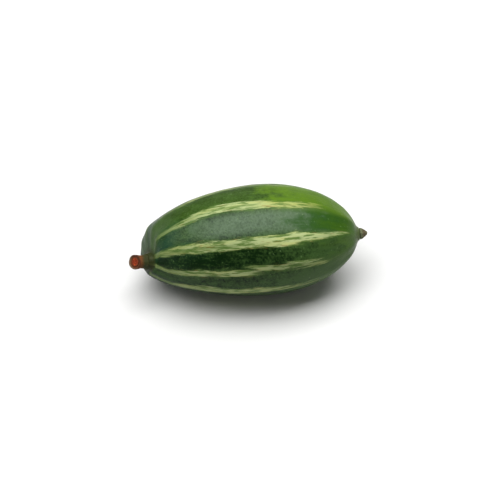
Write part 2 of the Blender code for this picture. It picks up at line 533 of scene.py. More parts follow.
class Finish:
    """A material in the making: its node tree, and the nodes that every finish uses."""

    def __init__(self, name: str, roughness: float) -> None:
        """Starts a material on one Principled shader.

        Args:
            name: The material's name.
            roughness: The roughness of the shader where nothing varies it.
        """
        self.material = bpy.data.materials.new(name)
        self.material.use_nodes = True
        self.tree = self.material.node_tree
        self.shader = self.tree.nodes["Principled BSDF"]
        self.shader.inputs["Roughness"].default_value = roughness

    def node(
        self, kind: str, inputs: dict[str | int, object] | None = None, output: str | int = 0,
        **settings: object,
    ) -> Wire:
        """Adds any node.

        Args:
            kind: The node's type, without the words ShaderNode in front.
            inputs: The values or links of its sockets.
            output: The socket that is returned.
            **settings: The node's settings, a ramp's stops as (place, colour) and the way between them.

        Returns:
            The output socket.
        """
        node = self.tree.nodes.new("ShaderNode" + kind)
        stops = settings.pop("stops", ())
        way = settings.pop("way", None)
        for setting, value in settings.items():
            setattr(node, setting, value)
        if stops:
            node.color_ramp.interpolation = way or "EASE"
            while len(node.color_ramp.elements) < len(stops):
                node.color_ramp.elements.new(1.0)
            for element, (place, colour) in zip(node.color_ramp.elements, stops):
                element.position = place
                element.color = (*colour, 1.0)
        for key, value in (inputs or {}).items():
            if isinstance(value, Wire):
                self.tree.links.new(value.socket, node.inputs[key])
            else:
                node.inputs[key].default_value = value
        return Wire(self.tree, node.outputs[output])

    def wrap(self) -> tuple[Wire, Wire, Wire, Wire]:
        """Reads how far along and round the piece a point lies.

        Returns:
            The whole vector, the share along, and the cosine and sine of the turn.
        """
        wrap = self.node(
            "Attribute", output="Vector", attribute_name="wrap", attribute_type="GEOMETRY"
        )
        parts = self.tree.nodes.new("ShaderNodeSeparateXYZ")
        self.tree.links.new(wrap.socket, parts.inputs[0])
        return (wrap, *(Wire(self.tree, socket) for socket in parts.outputs))

    def scaled(self, vector: Wire, sizes: tuple[float, float, float]) -> Wire:
        """Returns a vector with each of its parts scaled."""
        return self.node("VectorMath", {0: vector, 1: sizes}, operation="MULTIPLY")

    def askew(self, vector: Wire) -> Wire:
        """Returns a vector turned, so that no seam of a noise's cells runs round or along the piece."""
        inputs = {"Vector": vector, "Rotation": (0.45, 0.70, 0.50)}
        return self.node("VectorRotate", inputs, rotation_type="EULER_XYZ")

    def noise(self, vector: Wire, grain: Grain) -> Wire:
        """Adds soft noise.

        Args:
            vector: Where the noise is read.
            grain: Which noise it is.

        Returns:
            The noise, round 0.5.
        """
        inputs = {
            "Vector": vector, "Scale": grain.scale, "Detail": grain.layers, "Roughness": grain.strength
        }
        return self.node("TexNoise", inputs, output="Fac")

    def parted(self, colour: Wire) -> tuple[Wire, ...]:
        """Takes a colour apart.

        Args:
            colour: The colour.

        Returns:
            Its red, green and blue.
        """
        parts = self.tree.nodes.new("ShaderNodeSeparateColor")
        self.tree.links.new(colour.socket, parts.inputs[0])
        return tuple(Wire(self.tree, socket) for socket in parts.outputs)

    def flakes(self, vector: Wire, scale: float) -> Wire:
        """Returns a random value from 0 to 1 for each cell of a pattern of flakes."""
        return self.parted(self.node("TexVoronoi", {"Vector": vector, "Scale": scale}, output="Color"))[0]

    def ramp(self, value: Wire, low: float, high: float) -> Wire:
        """Returns a smooth step from 0 at the low value to 1 at the high value."""
        inputs = {"Value": value, "From Min": low, "From Max": high}
        return self.node("MapRange", inputs, interpolation_type="SMOOTHSTEP")

    def blend(self, share: Wire, first: Wire | Colour, second: Wire | Colour) -> Wire:
        """Mixes two colours.

        Args:
            share: How much of the second there is.
            first: The first colour.
            second: The second colour.

        Returns:
            The mixed colour.
        """
        colours = [value if isinstance(value, Wire) else (*value, 1.0) for value in (first, second)]
        return self.node("Mix", {0: share, 6: colours[0], 7: colours[1]}, output=2, data_type="RGBA")

    def relief(self, height: Wire, depth: float) -> None:
        """Feeds a height from 0 to 1, which stands for the depth in metres, to the shader's normal."""
        self.set("Normal", self.node("Bump", {"Height": height, "Distance": depth, "Strength": 1.0}))

    def set(self, socket: str, value: object) -> None:
        """Sets or links one socket of the shader.

        Args:
            socket: The socket's name.
            value: A number or colour, or the wire that feeds it.
        """
        if isinstance(value, Wire):
            self.tree.links.new(value.socket, self.shader.inputs[socket])
        else:
            self.shader.inputs[socket].default_value = value


@dataclass(frozen=True)
class Stripe:
    """One pale stripe of the skin.

    Its course holds points of (share along, turn in degrees, half width in degrees, paleness).
    """

    name: str
    course: tuple[tuple[float, float, float, float], ...]

    @property
    def middle(self) -> float:
        """Returns the turn halfway between the stripe's least and greatest."""
        turns = [point[1] for point in self.course]
        return (min(turns) + max(turns)) / 2


# The lower and front stripes are kept less pale than the others, partly as painted shade on the lower
# front side
SEEN_STRIPES = (
    Stripe("shoulder", (
        (0.04, 50, 4.0, 0.0), (0.10, 53, 4.0, 0.15), (0.20, 58, 3.5, 0.35), (0.30, 56, 3.5, 0.40),
        (0.48, 55, 3.0, 0.35), (0.62, 57, 2.5, 0.2), (0.76, 58, 2.0, 0.0),
    )),
    Stripe("upper", (
        (0.02, 74, 3.0, 0.0), (0.036, 89, 3.3, 0.26), (0.06, 96, 3.6, 0.40), (0.11, 97.5, 3.6, 0.54),
        (0.18, 97, 4.0, 0.52), (0.235, 94.5, 4.7, 0.46), (0.29, 92, 5.2, 0.62), (0.38, 90.5, 5.4, 0.80),
        (0.47, 91, 5.0, 0.78), (0.60, 93.5, 4.6, 0.68), (0.73, 93.5, 4.2, 0.52), (0.86, 90, 3.5, 0.0),
    )),
    Stripe("middle", (
        (0.003, 103, 11.0, 0.45), (0.012, 114, 9.5, 0.50), (0.03, 129, 7.6, 0.58),
        (0.06, 135.5, 6.6, 0.64), (0.105, 134.5, 6.4, 0.68), (0.16, 133.5, 6.0, 0.70),
        (0.22, 133, 5.8, 0.72), (0.37, 133.5, 5.6, 0.72), (0.49, 132, 4.6, 0.78), (0.64, 132, 5.2, 1.0),
        (0.72, 130, 5.2, 1.0), (0.81, 130, 3.8, 0.82), (0.91, 127.5, 2.8, 0.64), (0.96, 127, 1.5, 0.0),
    )),
    Stripe("lower", (
        (0.003, 148, 8.0, 0.40), (0.02, 159, 7.0, 0.48), (0.045, 166, 5.6, 0.54),
        (0.075, 168.5, 4.6, 0.60), (0.12, 168.5, 4.4, 0.60), (0.17, 167.5, 4.4, 0.66),
        (0.23, 165.5, 4.5, 0.70), (0.38, 164.5, 4.0, 0.70), (0.48, 164, 3.0, 0.7), (0.56, 164, 1.2, 0.0),
    )),
    Stripe("lower far", (
        (0.44, 157, 0.5, 0.0), (0.50, 158, 2.2, 0.52), (0.60, 160, 3.0, 0.42), (0.71, 161, 2.6, 0.34),
        (0.82, 163.5, 2.6, 0.28), (0.92, 164, 2.0, 0.0),
    )),
    Stripe("lower streak", (
        (0.62, 156, 0.6, 0.0), (0.68, 156.5, 1.7, 0.6), (0.77, 158, 1.8, 0.5), (0.86, 159.5, 1.2, 0.0),
    )),
    Stripe("front", (
        (0.01, 214, 8.0, 0.3), (0.05, 209, 7.6, 0.42), (0.10, 204.5, 7.0, 0.52),
        (0.165, 198.5, 6.6, 0.60), (0.26, 193.5, 6.2, 0.68), (0.40, 194, 5.6, 0.7),
        (0.53, 191, 4.6, 0.58), (0.66, 192, 3.8, 0.36), (0.79, 194, 3.4, 0.24), (0.92, 194, 3.0, 0.0),
    )),
)
# How light the skin between the stripes is, as (turn in degrees, lightness): partly the skin's own
# banding, partly painted light and shade, lightest round turn 112 under the overhead light, near black
# round turns 137 to 155 and darker low at the front as painted shade
BAND_LIGHT_AND_SHADE = (
    (0.0, 0.42), (20, 0.30), (40, 0.28), (62, 0.34), (88, 0.54), (112, 0.80), (126, 0.60), (137, 0.07),
    (155, 0.03), (166, 0.42), (180, 0.60), (192, 0.30), (206, 0.20), (232, 0.12), (250, 0.40), (270, 0.30),
    (290, 0.55), (308, 0.30), (328, 0.50), (345, 0.35), (360, 0.45),
)
HIDDEN_TURNS = {"under front": 231, "under": 269, "under back": 307, "back": 342, "back upper": 18}
# The course that the hidden stripes vary, as (share along, swell of the width, paleness)
HIDDEN_COURSE = (
    (0.03, 0.7, 0.1), (0.12, 0.8, 0.5), (0.26, 1.0, 0.95), (0.42, 1.05, 1.0), (0.58, 0.9, 0.95),
    (0.72, 0.85, 0.85), (0.85, 0.6, 0.6), (0.95, 0.4, 0.0),
)
HIDDEN_SEED = 7
HIDDEN_WIDTHS = (5.0, 6.8)
HIDDEN_SLANT = -8
HIDDEN_PIVOT = 0.3
HIDDEN_SWAY = 2.0
HIDDEN_SWELL = 0.15


def hidden_stripes() -> tuple[Stripe, ...]:
    """Works out the stripes of the unseen side, each a little different, like the seen ones.

    Returns:
        The stripes.
    """
    chance = random.Random(HIDDEN_SEED)
    stripes = []
    for name, turn in HIDDEN_TURNS.items():
        course = []
        width = chance.uniform(*HIDDEN_WIDTHS)
        for share, swell, paleness in HIDDEN_COURSE:
            drift = HIDDEN_SLANT * (share - HIDDEN_PIVOT) + chance.uniform(-HIDDEN_SWAY, HIDDEN_SWAY)
            half = width * swell * chance.uniform(1 - HIDDEN_SWELL, 1 + HIDDEN_SWELL)
            course.append((share, turn + drift, half, paleness))
        stripes.append(Stripe(name, tuple(course)))
    return tuple(stripes)


@dataclass(frozen=True)
class Belt:
    """A belt along the skin round one turn.

    It is whole up to one distance from its turn and gone past another, all in degrees.
    """

    turn: float
    whole: float
    gone: float


@dataclass(frozen=True)
class SkinPlace:
    """Where a point of the skin lies, and how uneven the skin is there.

    The even vector is in millimetres, and those of the fibres and the flakes are drawn out
    lengthwise. The noises lie round 0: fine and broad ones along the fibres, and shards and chips
    for long and short flakes.
    """

    share: Wire
    turn: Wire
    even: Wire
    fibres: Wire
    flakes: Wire
    fine: Wire
    broad: Wire
    shard: Wire
    chip: Wire


@dataclass(frozen=True)
class SkinFinish:
    """The fruit's waxy skin: dark green ground, pale ragged stripes, a fresher blossom end."""

    length: float = 0.0775
    girth_radius: float = 0.0180
    fibre_share: float = 0.13
    flake_share: float = 0.14
    swing: float = 60.0
    widest: float = 16.0
    shard_scale: float = 1.15
    chip_scale: float = 2.1
    relief_depth: float = 0.00012
    fine_grain: Grain = Grain(1.25, 4.0, 0.65)
    broad_grain: Grain = Grain(0.35)
    rust_grain: Grain = Grain(1.6)
    pore_grain: Grain = Grain(1.2, 3.0, 0.7)
    pit_grain: Grain = Grain(1.8, 2.0, 0.6)
    gloss_grain: Grain = Grain(0.8, 3.0)
    mottle_grain: Grain = Grain(0.22, 4.0, 0.65)
    streak_grain: Grain = Grain(0.9, 3.0, 0.6)
    grit_grain: Grain = Grain(1.3, 2.0, 0.7)
    blue_grain: Grain = Grain(0.10)
    speck_grain: Grain = Grain(1.5, 1.0)
    straw_grain: Grain = Grain(0.7)
    vein_grain: Grain = Grain(1.45, 3.0, 0.6)
    patch_grain: Grain = Grain(0.62, 3.0, 0.6)
    deep: Colour = (0.0026, 0.0140, 0.0018)
    leaf: Colour = (0.042, 0.090, 0.021)
    grass: Colour = (0.088, 0.175, 0.008)
    # A bluish cast, partly the wax bloom, partly painted reflection
    bloom_and_reflection_blue: Colour = (0.012, 0.050, 0.026)
    pale: Colour = (0.41, 0.48, 0.215)
    straw: Colour = (0.47, 0.49, 0.14)
    vein: Colour = (0.080, 0.150, 0.027)
    russet: Colour = (0.20, 0.11, 0.030)
    speck: Colour = (0.16, 0.27, 0.10)
    herb: Colour = (0.015, 0.066, 0.004)
    # The wax bloom's grey-green, also laid on as a painted sheen and a painted rim highlight
    bloom_and_sheen: Colour = (0.108, 0.162, 0.100)
    collar: Colour = (0.024, 0.027, 0.007)
    beak: Colour = (0.090, 0.120, 0.045)
    sheen: Colour = (0.75, 0.95, 0.65)
    # Belts round turns 112 to 117 lie under the overhead light: the one at 112 carries a painted sheen,
    # those at 114 and 117 a bluish cast that is partly bloom and partly painted reflection; the belt round
    # 35 carries a painted rim highlight
    blue_reflection_belt: Belt = Belt(114.0, 14.0, 34.0)
    sheen_belt: Belt = Belt(112.0, 5.0, 18.0)
    rim_highlight_belt: Belt = Belt(35.0, 40.0, 72.0)
    reflection_spot_belt: Belt = Belt(117.0, 4.0, 13.0)
    herb_belt: Belt = Belt(110.0, 8.0, 24.0)
    fresh_belt: Belt = Belt(72.0, 14.0, 34.0)
    straw_belt: Belt = Belt(92.0, 8.0, 22.0)
    core_belt: Belt = Belt(134.0, 0.5, 3.4)

    def make(self) -> bpy.types.Material:
        """Builds the material.

        Returns:
            The finished material.
        """
        finish = Finish("striped skin", Gloss.WAXY.value)
        place = self.place(finish)
        stripes, near = self.stripe_masks(finish, place)
        ground = finish.blend(near * 0.45, self.ground(finish, place), self.vein)
        colour = finish.blend(stripes, ground, self.stripe_colour(finish, place))
        rust = finish.ramp(finish.noise(place.flakes, self.rust_grain), 0.62, 0.70) * near * 0.6
        colour = finish.blend(rust, colour, self.russet)
        along = place.share + place.fine * 0.02
        colour = finish.blend((1 - finish.ramp(along, 0.0, 0.014)) * 0.92, colour, self.collar)
        colour = finish.blend(finish.ramp(along, 0.972, 1.0) * 0.85, colour, self.beak)
        finish.set("Base Color", colour)

        pores = finish.noise(place.even, self.pore_grain)
        pits = finish.noise(place.fibres, self.pit_grain)
        finish.relief(pores * 0.6 + pits * 0.4 + stripes * 0.25, self.relief_depth)
        dullness = (finish.noise(place.even, self.gloss_grain) - 0.5) * 0.22 + stripes * 0.10
        finish.set("Roughness", Gloss.WAXY.value + dullness)
        finish.set("IOR", 1.45)
        finish.set("Specular IOR Level", 0.10)
        finish.set("Sheen Weight", 0.03)
        finish.set("Sheen Roughness", 0.2)
        finish.set("Sheen Tint", (*self.sheen, 1.0))
        return finish.material

    def place(self, finish: Finish) -> SkinPlace:
        """Works out where a point of the skin lies, with the noises that the parts share.

        Args:
            finish: The material in the making.

        Returns:
            The place.
        """
        wrap, share, cosine, sine = finish.wrap()
        length, girth = self.length * MM_PER_METRE, self.girth_radius * MM_PER_METRE
        fibres = finish.askew(finish.scaled(wrap, (length * self.fibre_share, girth, girth)))
        flakes = finish.scaled(wrap, (length * self.flake_share, girth, girth))
        return SkinPlace(
            share=share,
            turn=sine.maths("ARCTAN2", sine, cosine) * math.degrees(1.0),
            even=finish.askew(finish.scaled(wrap, (length, girth, girth))),
            fibres=fibres,
            flakes=flakes,
            fine=finish.noise(fibres, self.fine_grain) - 0.5,
            broad=finish.noise(fibres, self.broad_grain) - 0.5,
            shard=finish.flakes(flakes, self.shard_scale) - 0.5,
            chip=finish.flakes(flakes, self.chip_scale) - 0.5,
        )

    def within(self, finish: Finish, turn: Wire, belt: Belt) -> Wire:
        """Returns 1 inside a belt, falling smoothly to 0 where it is gone."""
        return 1 - finish.ramp(abs(turn - belt.turn), belt.whole, belt.gone)

    def stripe_masks(self, finish: Finish, place: SkinPlace) -> tuple[Wire, Wire]:
        """Draws every stripe, each with its own course and ragged, feathered edges.

        Args:
            finish: The material in the making.
            place: Where a point of the skin lies.

        Returns:
            The mask of the stripes, and a wider mask of what lies in and beside them.
        """
        ragged = place.shard * 1.6 + place.chip * 2.0 + place.fine * 12.0 + place.broad * 2.5
        mask, near = None, None
        for stripe in (*SEEN_STRIPES, *hidden_stripes()):
            stops = tuple(
                (at, (0.5 + (centre - stripe.middle) / self.swing, half / self.widest, paleness))
                for at, centre, half, paleness in stripe.course
            )
            course = finish.node(
                "ValToRGB", {"Fac": place.share}, stops=stops, way="CARDINAL",
                label=f"{stripe.name} stripe",
            )
            shift, half, paleness = finish.parted(course)
            middle = (shift - 0.5) * self.swing + stripe.middle + place.broad * 3.0
            apart = abs((place.turn - middle).wrapped(-180.0, 180.0))
            inside = half * self.widest - apart + ragged * (0.35 + half)
            broken = finish.ramp(paleness + place.fine * 0.7 + place.shard * 0.3, 0.06, 0.34)
            one = finish.ramp(inside, -0.8, 1.0) * broken * (0.2 + 0.8 * paleness)
            beside = finish.ramp(inside, -3.2, 0.6) * paleness
            mask = one if mask is None else mask | one
            near = beside if near is None else near | beside
        return mask.held(), near.held()

    def ground(self, finish: Finish, place: SkinPlace) -> Wire:
        """Colours the dark skin between the stripes.

        Args:
            finish: The material in the making.
            place: Where a point of the skin lies.

        Returns:
            The colour.
        """
        share, turn, even = place.share, place.turn, place.even
        # The bands carry painted light and shade as well as the skin's own banding
        stops = tuple((at / 360.0, (level, level, level)) for at, level in BAND_LIGHT_AND_SHADE)
        round_share = turn.wrapped(0.0, 360.0) / 360.0
        band = finish.node("ValToRGB", {"Fac": round_share + place.broad * 0.02}, stops=stops)
        mottle = finish.noise(even, self.mottle_grain) - 0.5
        streak = finish.noise(place.fibres, self.streak_grain) - 0.5
        grit = finish.noise(even, self.grit_grain) - 0.5
        riper = finish.ramp(share, 0.46, 0.86) * 0.90
        lightness = (band * 0.9 + riper + mottle * 1.8 + streak * 1.2 + grit * 1.8).held()
        colour = finish.blend(lightness, self.deep, self.leaf)

        # A bluish cast on the band under the overhead light: partly the wax bloom, partly painted
        # reflection
        clouds = finish.ramp(finish.noise(even, self.blue_grain), 0.35, 0.6)
        blue = (1 - finish.ramp(share, 0.10, 0.42)) * clouds
        blue = blue * (self.within(finish, turn, self.blue_reflection_belt) + 0.2).held()
        colour = finish.blend(blue * 0.6, colour, self.bloom_and_reflection_blue)

        patchy = place.broad * 0.3 + mottle * 0.4
        # A grainy painted sheen of the overhead light on the band round turn 112, in the bloom colour,
        # partly the skin's wax bloom
        onset = finish.ramp(share + mottle * 0.3, 0.12, 0.42) | finish.ramp(share, 0.07, 0.12) * 0.34
        painted_sheen = self.within(finish, turn, self.sheen_belt) * onset
        painted_sheen = painted_sheen * (1 - finish.ramp(share + patchy, 0.72, 0.96)) * (0.60 + grit * 1.2)
        # A painted pale rim highlight along the upper edge of the stem end, in the bloom colour
        rim = self.within(finish, turn, self.rim_highlight_belt) * (1 - finish.ramp(share, 0.04, 0.17))
        colour = finish.blend((painted_sheen | rim * 0.26).held(), colour, self.bloom_and_sheen)

        # A bluish spot near the stem end on the same band: partly bloom, partly painted reflection
        spot = self.within(finish, turn, self.reflection_spot_belt) * finish.ramp(share, 0.05, 0.09)
        spot = spot * (1 - finish.ramp(share + mottle * 0.2, 0.09, 0.15))
        colour = finish.blend(spot * 0.5, colour, self.bloom_and_reflection_blue)

        below = self.within(finish, turn, self.herb_belt) * finish.ramp(share + patchy, 0.66, 0.84)
        colour = finish.blend(below * 0.85, colour, self.herb)

        top = self.within(finish, turn, self.fresh_belt)
        sunny = top * finish.ramp(share + patchy, 0.42, 0.70) * (0.78 + mottle * 0.7 + streak * 0.5)
        fresh = sunny | finish.ramp(share + patchy, 0.78, 1.0) * 0.30 | top * 0.20
        colour = finish.blend(fresh.held(), colour, self.grass)
        dots = finish.ramp(finish.noise(even, self.speck_grain), 0.69, 0.78)
        return finish.blend(dots * 0.45, colour, self.speck)

    def stripe_colour(self, finish: Finish, place: SkinPlace) -> Wire:
        """Colours the inside of the stripes.

        Args:
            finish: The material in the making.
            place: Where a point of the skin lies.

        Returns:
            The colour.
        """
        share, turn, fibres, fine = place.share, place.turn, place.fibres, place.fine
        warm = finish.ramp(finish.noise(fibres, self.straw_grain), 0.45, 0.66)
        yellow = self.within(finish, turn, self.straw_belt) * finish.ramp(share, 0.48, 0.66)
        colour = finish.blend((warm * 0.45 + yellow * 0.7).held(), self.pale, self.straw)
        veins = finish.ramp(finish.noise(fibres, self.vein_grain) + fine * 0.3, 0.46, 0.60)
        patches = finish.ramp(finish.noise(fibres, self.patch_grain), 0.52, 0.66) * 0.65
        patches = patches * (1 - finish.ramp(share, 0.50, 0.66) * 0.8)
        colour = finish.blend((veins * 0.9 | patches).held(), colour, self.vein)
        core = self.within(finish, turn + fine * 9.0, self.core_belt) * finish.ramp(share, 0.08, 0.16)
        colour = finish.blend(core * (1 - finish.ramp(share, 0.36, 0.52)) * 0.65, colour, self.vein)
        young = 1 - finish.ramp(share, 0.06, 0.30)
        return finish.blend(young * 0.5, colour, self.vein)


@dataclass(frozen=True)
class BarkFinish:
    """The stub's bark: green-brown and fibrous at the foot, red-brown near the cut.

    The rim of the cut is dry and pale on the side that the direction points to.
    """

    foot: Colour = (0.026, 0.030, 0.005)
    bark: Colour = (0.135, 0.044, 0.010)
    wood: Colour = (0.085, 0.026, 0.008)
    rim: Colour = (0.165, 0.112, 0.066)
    fibre_sizes: tuple[float, float, float] = (1.2, 2.6, 2.6)
    fibre_grain: Grain = Grain(3.2, 3.0, 0.65)
    rim_inside: float = 0.0019
    rim_outside: float = 0.0026
    rim_ragged: float = 0.0006
    rim_side: tuple[float, float, float] = (-0.90, -0.20, -0.38)
    side_starts: float = -0.0008
    side_full: float = 0.0012
    cut_starts: float = -0.00035
    cut_full: float = -0.00010
    relief_depth: float = 0.00018

    def make(self, centre: Vector, aim: Vector) -> bpy.types.Material:
        """Builds the material.

        Args:
            centre: The middle of the cut.
            aim: The way that the cut faces.

        Returns:
            The finished material.
        """
        finish = Finish("stub bark", Gloss.DULL.value)
        place = finish.node("TexCoord", output="Object")
        spot = finish.node("VectorMath", {0: place, 1: tuple(centre)}, operation="SUBTRACT")
        over = finish.node("VectorMath", {0: spot, 1: tuple(aim)}, output="Value", operation="DOT_PRODUCT")
        out = finish.node("VectorMath", {0: spot}, output="Value", operation="LENGTH")
        wrap, share, _, _ = finish.wrap()
        streak = finish.noise(finish.scaled(wrap, self.fibre_sizes), self.fibre_grain)
        colour = finish.blend(finish.ramp(share + (streak - 0.5) * 0.5, 0.15, 0.60), self.foot, self.bark)
        colour = finish.blend(finish.ramp(streak, 0.56, 0.72) * 0.35, colour, self.rim)
        paler = finish.ramp(out + (streak - 0.5) * self.rim_ragged, self.rim_inside, self.rim_outside)
        aside = finish.node(
            "VectorMath", {0: spot, 1: self.rim_side}, output="Value", operation="DOT_PRODUCT"
        )
        paler = paler * finish.ramp(aside, self.side_starts, self.side_full)
        cut = finish.blend(paler, self.wood, self.rim)
        at_cut = finish.ramp(over, self.cut_starts, self.cut_full)
        finish.set("Base Color", finish.blend(at_cut, colour, cut))
        finish.set("Specular IOR Level", 0.2)
        finish.relief(streak, self.relief_depth)
        return finish.material


@dataclass(frozen=True)
class PithFinish:
    """The orange-red pith in the stub's cut."""

    heart: Colour = (0.17, 0.020, 0.004)
    core: Colour = (0.52, 0.085, 0.018)
    edge: Colour = (0.085, 0.026, 0.009)
    radius: float = 0.0018
    edge_ragged: float = 0.0008
    pith_grain: Grain = Grain(1600.0, 3.0, 0.6)
    relief_depth: float = 0.00020

    def make(self, centre: Vector) -> bpy.types.Material:
        """Builds the material.

        Args:
            centre: The middle of the cut.

        Returns:
            The finished material.
        """
        finish = Finish("stub pith", Gloss.DULL.value)
        place = finish.node("TexCoord", output="Object")
        spot = finish.node("VectorMath", {0: place, 1: tuple(centre)}, operation="SUBTRACT")
        out = finish.node("VectorMath", {0: spot}, output="Value", operation="LENGTH")
        grain = finish.noise(place, self.pith_grain)
        colour = finish.blend(finish.ramp(grain, 0.40, 0.66), self.heart, self.core)
        ragged = out + (grain - 0.5) * self.edge_ragged
        rind = finish.ramp(ragged, self.radius * 0.50, self.radius)
        finish.set("Base Color", finish.blend(rind, colour, self.edge))
        finish.set("Specular IOR Level", 0.15)
        finish.relief(grain, self.relief_depth)
        return finish.material


@dataclass(frozen=True)
class BlossomFinish:
    """The dried remnant of the flower: grey-brown, paler on its creases and its point."""

    green: Colour = (0.085, 0.100, 0.045)
    brown: Colour = (0.076, 0.058, 0.024)
    pale: Colour = (0.215, 0.225, 0.11)
    fibre_sizes: tuple[float, float, float] = (1.5, 2.6, 2.6)
    fibre_grain: Grain = Grain(3.0, 3.0, 0.65)
    relief_depth: float = 0.00015

    def make(self) -> bpy.types.Material:
        """Builds the material.

        Returns:
            The finished material.
        """
        finish = Finish("dry blossom", Gloss.DRY.value)
        wrap, share, _, _ = finish.wrap()
        streak = finish.noise(finish.scaled(wrap, self.fibre_sizes), self.fibre_grain)
        drier = finish.ramp(share + (streak - 0.5) * 0.5, 0.05, 0.35)
        colour = finish.blend(drier, self.green, self.brown)
        light = finish.ramp(streak, 0.50, 0.68) * 0.7 | finish.ramp(share, 0.72, 0.95) * 0.6
        finish.set("Base Color", finish.blend(light, colour, self.pale))
        finish.relief(streak, self.relief_depth)
        return finish.material


@dataclass
class Fruit:
    """The fruit's skin: a spindle with ten faint ribs, uneven as a grown thing is."""

    form: FruitForm = field(default_factory=FruitForm)
    sides: int = 96
    rows: int = 44
    rib_turns: tuple[float, ...] = (18, 56, 93, 132, 162, 193, 231, 269, 307, 342)
    rib_height: float = 0.00030
    rib_spread: float = 10.5
    rib_start_radius: float = 0.0034
    rib_full_radius: float = 0.0090
    dent_size: float = 0.014
    dent_depth: float = 0.00030
    ripple_size: float = 0.0035
    ripple_depth: float = 0.00007
    rounding: int = 2

    def sections(self) -> list[Section]:
        """Works out the rings of the fruit.

        Returns:
            The rings from the beak's top to the collar's top.
        """
        form = self.form
        aim = form.turned(TO_STEM)
        level = form.turned(form.stub_aim)
        shoulder = (form.beak_radius + form.beak_top_radius) / 2
        rings = [
            Section(form.laid(form.beak_top), aim, form.beak_top_radius, 1.0, False),
            Section(form.laid(form.beak_top + TO_STEM * form.beak_length / 2), aim, shoulder, 1.0, False),
        ]
        for row in range(self.rows - 1, 0, -1):
            share = (1 - math.cos(math.pi * row / self.rows)) / 2
            along = form.length * share
            facing = form.turned(form.aim(along))
            rings.append(Section(form.laid(form.centre(along)), facing, form.radius(along), share))
        halfway = form.centre(0.0) + form.stub_aim * form.collar_height / 2
        between = form.turned((form.collar_aim + form.stub_aim).normalized())
        rings.append(Section(form.laid(halfway), between, form.collar_radius, 0.0, False))
        rings.append(Section(form.laid(form.collar_top), level, form.collar_top_radius, 0.0, False))
        return rings

    def rib(self, turn: float, radius: float) -> float:
        """Works out how much of a rib's height the skin has.

        Args:
            turn: The turn in degrees.
            radius: The fruit's radius there.

        Returns:
            The share of the full height.
        """
        raised = 0.0
        for middle in self.rib_turns:
            apart = (turn - middle + 180) % 360 - 180
            raised += math.exp(-((apart / self.rib_spread) ** 2))
        reach = (radius - self.rib_start_radius) / (self.rib_full_radius - self.rib_start_radius)
        return min(1.0, raised) * ease(reach)

    def build(self) -> bpy.types.Object:
        """Models the skin.

        Returns:
            The finished piece.
        """
        sections = self.sections()
        piece = Bench.grow("fruit_skin", sections, self.sides)
        places = ring_places(piece, sections, self.sides)
        wrap_coordinates(piece, places)
        ribs = piece.vertex_groups.new(name="ribs")
        for corner, (section, turn) in enumerate(places):
            weight = self.rib(turn, section.radius) if section.ribbed else 0.0
            ribs.add([corner], weight, "REPLACE")
        Bench.apply(
            piece, "DISPLACE", "ribs", strength=self.rib_height, mid_level=0.0, vertex_group="ribs"
        )
        Bench.round_off(piece, self.rounding)
        Bench.uneven(piece, "dents", self.dent_size, self.dent_depth)
        Bench.uneven(piece, "ripples", self.ripple_size, self.ripple_depth)
        Bench.press_flat(piece)
        Bench.smooth(piece)
        return piece

    def dress(self, piece: bpy.types.Object) -> None:
        """Gives the skin its finish and its place in the frame."""
        piece.data.materials.append(SkinFinish(length=self.form.length).make())
        settle(piece, "fruit")


